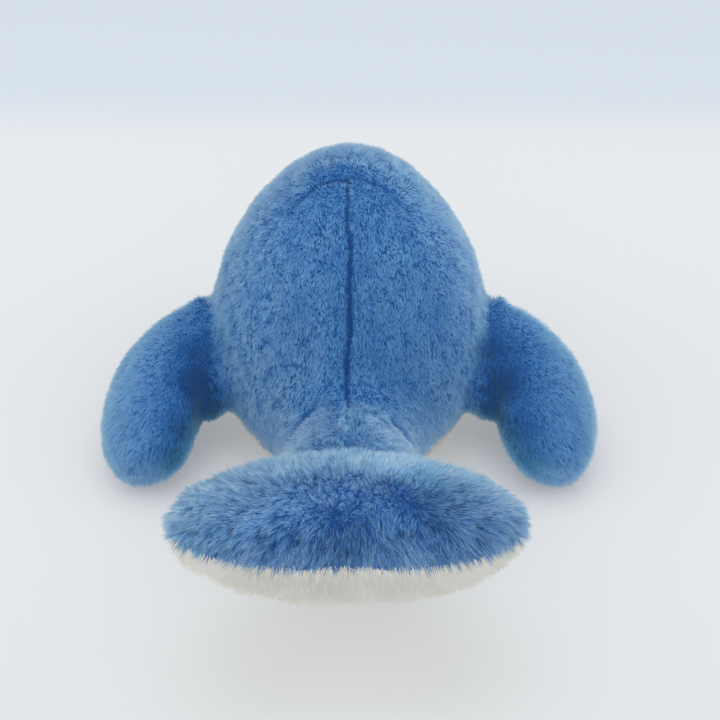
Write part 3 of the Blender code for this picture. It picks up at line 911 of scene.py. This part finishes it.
def on_fur_map(fur):
    """Each strand's place on the map: its tone across, and from root to tip upwards."""
    own = fur.node("ShaderNodeSeparateXYZ", None, {0: fur.named(FUR_MAP, "FLOAT_VECTOR")})
    height = own.out("Y") * (1 - fur.look["root"]) + fur.look["root"]
    inputs = {0: own * TONE_SPREAD + fur.named("tone"), 1: height}
    return fur.node("ShaderNodeCombineXYZ", None, inputs)


def fur_tree(name, strand, look, seed):
    fur = Planter(name, look, seed)
    points = scattered(fur)
    normal = points.out("Normal")
    seam, fleck = seam_share(fur), fleck_share(fur)
    comb = stroked_comb(fur, normal)
    way = strand_way(fur, normal, comb, seam)
    reach = way.scaled(strand_length(fur, seam, fleck)).vector("ADD", pull_to_tuft(fur))
    axes = {"primary_axis": "Z", "secondary_axis": "X"}
    inputs = {"Primary Axis": reach, "Secondary Axis": comb}
    turn = fur.node("FunctionNodeAxesToRotation", axes, inputs)
    inputs = {0: look["width"], 1: look["width"], 2: reach.vector("LENGTH", output=1)}
    size = fur.node("ShaderNodeCombineXYZ", None, inputs)
    shape = fur.node("GeometryNodeObjectInfo", None, {"Object": strand}, "Geometry")
    inputs = {"Points": points, "Instance": shape, "Rotation": turn, "Scale": size}
    planted = fur.node("GeometryNodeInstanceOnPoints", None, inputs)
    drape = fur.named("drape", "FLOAT_VECTOR").scaled(DRAPE_SHARE)
    under = normal.scaled(1 - DRAPE_SHARE).vector("ADD", drape)
    under = under.vector("ADD", way.scaled(look["nap"]))
    planted = fur.stored(planted, "tone", strand_tone(fur, seam, fleck), "FLOAT", "INSTANCE")
    planted = fur.stored(planted, "under", under, "FLOAT_VECTOR", "INSTANCE")
    whole = fur.node("GeometryNodeRealizeInstances", None, {"Geometry": planted})
    whole = fur.stored(whole, FUR_MAP, on_fur_map(fur), "FLOAT2", "CORNER")
    fur.node("NodeGroupOutput", None, {0: whole})
    return fur.tree


# %% [markdown]
# The fur is grown once and then kept as a plain mesh. Points that would go into the floor are
# lifted just clear of it, because the toy's own weight presses the fur under it flat. A strand
# takes most of its shading from the cloth under it, so that the pile reads as one soft surface.
# The strands cast no shadow, because shadows of so many would turn the toy black: the skins
# under them cast it.

# %% Grow the fur and keep it as a mesh
FLOOR_CLEARANCE = 0.0004
SOFT_NORMALS = 0.85


def soft_normals(mesh):
    under = np.zeros(len(mesh.vertices) * 3, np.float32)
    mesh.attributes["under"].data.foreach_get("vector", under)
    under = under.reshape(-1, 3)
    under /= np.maximum(np.linalg.norm(under, axis=1), WELD)[:, None]
    return SOFT_NORMALS * under + (1 - SOFT_NORMALS) * normals_of(mesh)


def drop_notes(mesh):
    """Removes what was noted on a mesh's points, once nothing reads it any more."""
    own = [a for a in mesh.attributes if a.domain == "POINT" and not a.is_internal]
    for name in [a.name for a in own if not a.is_required]:
        mesh.attributes.remove(mesh.attributes[name])


def grow_fur(name, cloth, slot, look, seed):
    grower = add_object(name, cloth.data.copy())
    modifier = grower.modifiers.new("fur", "NODES")
    modifier.node_group = fur_tree(f"{name}_nodes", strands[look["colour"]], look, seed)
    mesh = finished_mesh(grower, name)
    soft = soft_normals(mesh)
    drop_notes(mesh)
    co = points_of(mesh)
    co[:, 2] = np.maximum(co[:, 2], FLOOR_CLEARANCE)
    move_points(mesh, co)
    mesh.normals_split_custom_set_from_vertices(soft)
    fur = add_object(name, mesh)
    fur.visible_shadow = False
    fur.visible_diffuse = False
    print(name, len(mesh.polygons), "faces, box", co.min(0).round(4), co.max(0).round(4))
    return fur


# %% [markdown]
# ## The looks of the piles
# Every pile is the short one with some changes. The length of the pile, the width of a strand and
# the size of a tuft are in metres, and a scale is that of a noise, so a higher one gives smaller
# marks. Patches are large and soft, flecks are small pits with painted shade, and strokes turn the
# combing. A trim shortens strands and a shade darkens them with painted shade.

# %% Describe the short piles of body, belly and flippers
SHORT_PILE = {
    "colour": "blue",
    "density": 1.3e6,
    "inset": 0.0,
    "pile": 0.0056,
    "width": 0.00064,
    "root": 0.25,
    "lean": 1.15,
    "lean_change": 1.0,
    "wild": 0.28,
    "nap": 0.35,
    "tuft": 0.0035,
    "tuft_pull": 0.30,
    "stroke": 1.8,
    "stroke_scale": 120.0,
    "patch_scale": 40.0,
    "patch_depth": 0.6,
    "fleck_scale": 230.0,
    "fleck_level": 0.84,
    "fleck_shade": 0.30,
    "fleck_trim": 0.35,
    "tone": 0.58,
    "tone_spread": 0.12,
    "seam_spread": 0.0027,
    "seam_trim": 0.80,
    "seam_shade": 1.00,
    "parting_shade": 0.70,
    "panels": (),
}
FLIPPER_PILE = {
    **SHORT_PILE,
    "lean": 1.4,
    "stroke": 1.0,
    "patch_depth": 0.4,
    "fleck_shade": 0.15,
    "tone": 0.45,
    "tone_spread": 0.09,
    "seam_trim": 0.5,
    "seam_shade": 0.3,
    "parting_shade": 0.60,
}
FACE_PILE = {**SHORT_PILE, "density": 1.0e6, "width": 0.00075}
BELLY_PILE = {**FACE_PILE, "colour": "cream", "root": 0.5, "seam_shade": 0.3, "fleck_shade": 0.1}
print("short pile", SHORT_PILE["pile"], "m, strands for a square metre", SHORT_PILE["density"])

# %% Describe the long piles of the flukes
LONG_PILE = {
    **SHORT_PILE,
    "colour": "long blue",
    "density": 1.6e6,
    "pile": 0.0100,
    "width": 0.00064,
    "root": 0.0,
    "lean": 1.20,
    "lean_change": 1.6,
    "tuft": 0.0045,
    "tuft_pull": 0.70,
    "stroke": 1.3,
    "stroke_scale": 55.0,
    "patch_scale": 28.0,
    "patch_depth": 1.1,
    "fleck_scale": 120.0,
    "fleck_level": 0.82,
    "fleck_shade": 0.30,
    "fleck_trim": 0.25,
    "tone": 0.54,
    "tone_spread": 0.42,
    "seam_trim": 0.0,
    "seam_shade": 0.0,
    "parting_shade": 0.55,
}
FLUKE_UNDER_PILE = {
    **LONG_PILE,
    "colour": "cream",
    "inset": 0.0040,
    "root": 0.75,
    "lean": 1.7,
    "tone": 0.76,
    "patch_depth": 1.3,
    "fleck_scale": 90.0,
    "fleck_shade": 0.35,
    "parting_shade": 0.0,
    # The cream's seam shade is painted shadow under the blue pile that laps over it.
    "seam_spread": 0.0070,
    "seam_trim": 3.5,
    "seam_shade": 5.5,
}
print("long pile", LONG_PILE["pile"], "m, strands for a square metre", LONG_PILE["density"])

# %% Grow every panel's fur
SEED_STEP = 10
BACK_PANELS = ("back_left_panel", "back_right_panel")
FURS = (
    ("back_left_fur", "body", "blue_plush", SHORT_PILE, ("back_left_panel",)),
    ("back_right_fur", "body", "blue_plush", SHORT_PILE, ("back_right_panel",)),
    ("face_fur", "body", "blue_plush", FACE_PILE, ("face_panel",)),
    ("belly_fur", "body", "cream_plush", BELLY_PILE, ("belly_panel",)),
    ("flipper_left_fur", "flipper_left", "blue_plush", FLIPPER_PILE, ()),
    ("flipper_right_fur", "flipper_right", "blue_plush", FLIPPER_PILE, ()),
    ("fluke_upper_fur", "fluke", "blue_plush", LONG_PILE, ("fluke_upper_panel", *BACK_PANELS)),
    ("fluke_lower_fur", "fluke", "cream_plush", FLUKE_UNDER_PILE, ("fluke_lower_panel", "belly_panel")),
)
furs = {}
for number, (name, part, slot, look, own) in enumerate(FURS):
    seed = SEED_STEP * number + 1
    furs[name] = grow_fur(name, skins[part], slot, {**look, "panels": own}, seed)
for strand in strands.values():
    bpy.data.objects.remove(strand, do_unlink=True)

# %% [markdown]
# ## Colour and close the skins
# The backing under the fur takes each panel's colour. Under the flukes the cream backing starts a
# little way in from the seam, so a strip of dark blue backing shows under the first cream pile:
# painted shadow under the blue pile that laps over it. The holes at the cuts are closed, and the
# notes that only the fur read are dropped.

# %% Finish the skins
# Under the flukes the cream backing starts a little past the seam; the dark blue strip before it is painted shadow
# under the blue pile.
CREAM_FROM = {"belly_panel": 0.0, "fluke_lower_panel": 0.006}


def finish_skin(obj):
    bm = bmesh.new()
    bm.from_mesh(obj.data)
    layers = [(bm.verts.layers.float[name], start) for name, start in CREAM_FROM.items()]
    for face in bm.faces:
        cream = any(all(vert[layer] > start for vert in face.verts) for layer, start in layers)
        face.material_index = int(cream)
    rim = [edge for edge in bm.edges if edge.is_boundary]
    bmesh.ops.holes_fill(bm, edges=rim)
    bm.to_mesh(obj.data)
    bm.free()
    for made in skin_materials:
        obj.data.materials.append(made)
    drop_notes(obj.data)
    print(obj.name, len(obj.data.polygons), "faces")


for obj in skins.values():
    finish_skin(obj)

# %% [markdown]
# ## Eyes
# A safety eye is a polished black dome on a stem. Its profile, a quarter of an oval and a short
# skirt that sits in the pile, is spun about the stem's axis. The axis runs from the washer's
# middle to the dome's middle.

# %% Spin the eyes
EYE_RADIUS = 0.006
EYE_HEIGHT = 0.0055
EYE_DEPTH = 0.003
EYE_SKIRT = ((0.94, 0.3), (0.60, 1.0), (0.0, 1.0))
EYE_STEPS = 10
EYE_SPINS = 48
EYE_BLACK = (0.006, 0.006, 0.007, 1)
EYE_SPECULAR = 0.35
EYE_COAT = 0.3
EYE_ROUGHNESS = 0.05
EYE_SMEAR = 0.08
SMEAR_SCALE = 300.0
SMEAR_DETAIL = 4.0


def eye_material():
    made, tree, shader = new_material("polished black eye")
    set_sockets(shader, base_color=EYE_BLACK, specular_ior_level=EYE_SPECULAR, coat_weight=EYE_COAT)
    place = node(tree, "ShaderNodeTexCoord", output="Object")
    inputs = {"Vector": place, "Scale": SMEAR_SCALE, "Detail": SMEAR_DETAIL}
    smear = node(tree, "ShaderNodeTexNoise", None, inputs)
    dullness = smear * EYE_SMEAR + EYE_ROUGHNESS
    tree.links.new(dullness.socket, shader.inputs["Roughness"])
    return made


def middle_of(name):
    return Vector(points_of(frame["nodes"][name].data).astype(float).mean(0))


def spun_eye(side, finish):
    seat, dome = middle_of(f"eye_{side}_washer"), middle_of(f"eye_{side}")
    axis = (dome - seat).normalized()
    front = max((v.co - seat).dot(axis) for v in frame["nodes"][f"eye_{side}"].data.vertices)
    base = seat + axis * (front - EYE_HEIGHT)
    turns = [math.pi / 2 * n / EYE_STEPS for n in range(EYE_STEPS + 1)]
    profile = [(EYE_RADIUS * math.sin(turn), EYE_HEIGHT * math.cos(turn)) for turn in turns]
    profile += [(EYE_RADIUS * wide, -EYE_DEPTH * deep) for wide, deep in EYE_SKIRT]
    bm = bmesh.new()
    verts = [bm.verts.new((x, 0, z)) for x, z in profile]
    edges = [bm.edges.new(pair) for pair in zip(verts, verts[1:])]
    bmesh.ops.spin(
        bm,
        geom=verts + edges,
        cent=(0, 0, 0),
        axis=(0, 0, 1),
        angle=math.tau,
        steps=EYE_SPINS,
        use_merge=True,
    )
    bmesh.ops.remove_doubles(bm, verts=bm.verts, dist=WELD)
    bmesh.ops.recalc_face_normals(bm, faces=bm.faces)
    turn = axis.to_track_quat("Z", "Y").to_matrix().to_4x4()
    bmesh.ops.transform(bm, matrix=Matrix.Translation(base) @ turn, verts=bm.verts)
    eye = add_object(f"eye_{side}_dome", mesh_of(bm, f"eye_{side}_dome"))
    eye.data.materials.append(finish)
    return eye


eye_finish = eye_material()
eyes = {side: spun_eye(side, eye_finish) for side in ("left", "right")}
print("eyes", {side: len(eye.data.polygons) for side, eye in eyes.items()})

# %% [markdown]
# ## Who moves with what
# The body's skin and fur ride on the body. A limb's skin and fur bend: near the root they follow
# the body, and further out the limb, as cloth does over a soft joint.

# %% Tie the pieces to the frame
FLIPPER_BEND = (0.109, 0.134)
FLUKE_BEND = (-0.123, -0.158)


def bend_line(part):
    """Where a limb's cloth starts to leave the body, and where it follows only the limb."""
    x, y, z = hinges[part]["pos_m"]
    if part == "fluke":
        return (0, FLUKE_BEND[0], z), (0, FLUKE_BEND[1], z)
    side = math.copysign(1, x)
    return (side * FLIPPER_BEND[0], y, z), (side * FLIPPER_BEND[1], y, z)


def tie(obj, part):
    if part == "body":
        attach(obj, "body")
    else:
        start, end = bend_line(part)
        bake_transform(obj, "body", part, start=start, end=end)


for part, obj in skins.items():
    tie(obj, part)
    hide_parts(f"{part}_stuffing")
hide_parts("bean_pouch", "eye_left_washer", "eye_right_washer")
for name, part, *_, own in FURS:
    tie(furs[name], part)
    mine = [n for n in bodies[part] if n.endswith("_panel") and (not own or n in own)]
    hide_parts(*mine)
for side, eye in eyes.items():
    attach(eye, "body")
    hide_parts(f"eye_{side}")
print("tied", len(skins) + len(furs) + len(eyes), "pieces")

# %% [markdown]
# ## Floor, light and camera
# The photograph was taken on a pale sweep under soft light from above. The floor is a plain
# plane, a little darker far behind the toy, and the sky behind it has that same tone.

# %% Lay the floor
FLOOR_SIZE = 12.0
FLOOR_WHITE = (0.90, 0.91, 0.92, 1)
FLOOR_GLOW = 0.30
FLOOR_NEAR = (0.735, 0.757, 0.772, 1)
FLOOR_FAR = (0.640, 0.700, 0.755, 1)
FLOOR_FADE = (0.52, 0.68)
FLOOR_ROUGHNESS = 0.9
FLOOR_SPECULAR = 0.1


def floor_material():
    made, tree, shader = new_material("pale floor")
    place = node(tree, "ShaderNodeTexCoord", output="Object")
    across = node(tree, "ShaderNodeSeparateXYZ", None, {0: place})
    inputs = {"Value": across.out("Y"), "From Min": FLOOR_FADE[0], "From Max": FLOOR_FADE[1]}
    fade = node(tree, "ShaderNodeMapRange", {"interpolation_type": "SMOOTHSTEP"}, inputs)
    shown = mixed(tree, fade, FLOOR_NEAR, FLOOR_FAR)
    rays = node(tree, "ShaderNodeLightPath")
    colour = mixed(tree, rays, FLOOR_WHITE, shown)
    tree.links.new(colour.socket, shader.inputs["Base Color"])
    set_sockets(shader, roughness=FLOOR_ROUGHNESS, specular_ior_level=FLOOR_SPECULAR)
    lit = Value(tree, shader.outputs[0])
    glow = node(tree, "ShaderNodeEmission", None, {"Color": shown})
    lifted = node(tree, "ShaderNodeMixShader", None, {0: rays * FLOOR_GLOW, 1: lit, 2: glow})
    tree.links.new(lifted.socket, tree.nodes["Material Output"].inputs["Surface"])
    return made


bm = bmesh.new()
bmesh.ops.create_grid(bm, x_segments=1, y_segments=1, size=FLOOR_SIZE / 2)
floor = add_object("floor", mesh_of(bm, "floor"))
floor.data.materials.append(floor_material())
print("floor", FLOOR_SIZE, "m wide")

# %% Light it softly
SKY_LIGHT = (0.97, 0.985, 1.0, 1)
SKY_STRENGTH = (0.78, 0.90)
SKY_AHEAD = 0.08
SKY_SHOWN = (0.645, 0.710, 0.765, 1)
LAMP_AIM = (0, 0, 0.08)
LAMPS = (
    ("top", (-0.10, 0.40, 1.50), 1.4, 5.5),
    ("left", (-1.50, 0.30, 0.80), 1.0, 3.5),
    ("right", (1.50, 0.30, 0.80), 1.0, 3.0),
    ("front", (0.20, -1.50, 0.25), 1.0, 5.2),
)


def make_world():
    world = bpy.data.worlds.new("studio")
    world.use_nodes = True
    scene.world = world
    tree = world.node_tree
    tree.nodes.clear()
    rays = node(tree, "ShaderNodeLightPath")
    seen = rays.out("Is Camera Ray").math("MAXIMUM", rays.out("Is Glossy Ray"))
    seen = seen.math("MAXIMUM", rays.out("Is Transmission Ray"))
    place = node(tree, "ShaderNodeTexCoord", output="Generated")
    way = node(tree, "ShaderNodeSeparateXYZ", None, {0: place})
    low, high = SKY_STRENGTH
    strength = way.out("Z").math("MAXIMUM", 0.0) * (high - low) + low
    strength = strength + way.out("Y") * SKY_AHEAD
    light = node(tree, "ShaderNodeBackground", None, {"Color": SKY_LIGHT, "Strength": strength})
    shown = node(tree, "ShaderNodeBackground", None, {"Color": SKY_SHOWN, "Strength": 1.0})
    both = node(tree, "ShaderNodeMixShader", None, {0: seen, 1: light, 2: shown})
    node(tree, "ShaderNodeOutputWorld", None, {0: both})


def add_lamp(name, place, size, power):
    data = bpy.data.lights.new(name, "AREA")
    data.size = size
    data.energy = power
    lamp = bpy.data.objects.new(name, data)
    scene.collection.objects.link(lamp)
    lamp.location = place
    aim = Vector(LAMP_AIM) - Vector(place)
    lamp.rotation_euler = aim.to_track_quat("-Z", "Y").to_euler()


make_world()
for lamp in LAMPS:
    add_lamp(*lamp)
print("lamps", [lamp[0] for lamp in LAMPS])

# %% Aim the camera
CAMERA_PLACE = (0.0085, -0.9224, 0.737)
CAMERA_ELEVATION = math.radians(35)
CAMERA_LENS = 74.95
CAMERA_SENSOR = 36

camera_data = bpy.data.cameras.new("camera")
camera_data.lens = CAMERA_LENS
camera_data.sensor_width = CAMERA_SENSOR
camera = bpy.data.objects.new("camera", camera_data)
scene.collection.objects.link(camera)
camera.location = CAMERA_PLACE
camera.rotation_euler = (math.pi / 2 - CAMERA_ELEVATION, 0, 0)
scene.camera = camera
scene.view_settings.view_transform = "Standard"
print("camera at", CAMERA_PLACE)
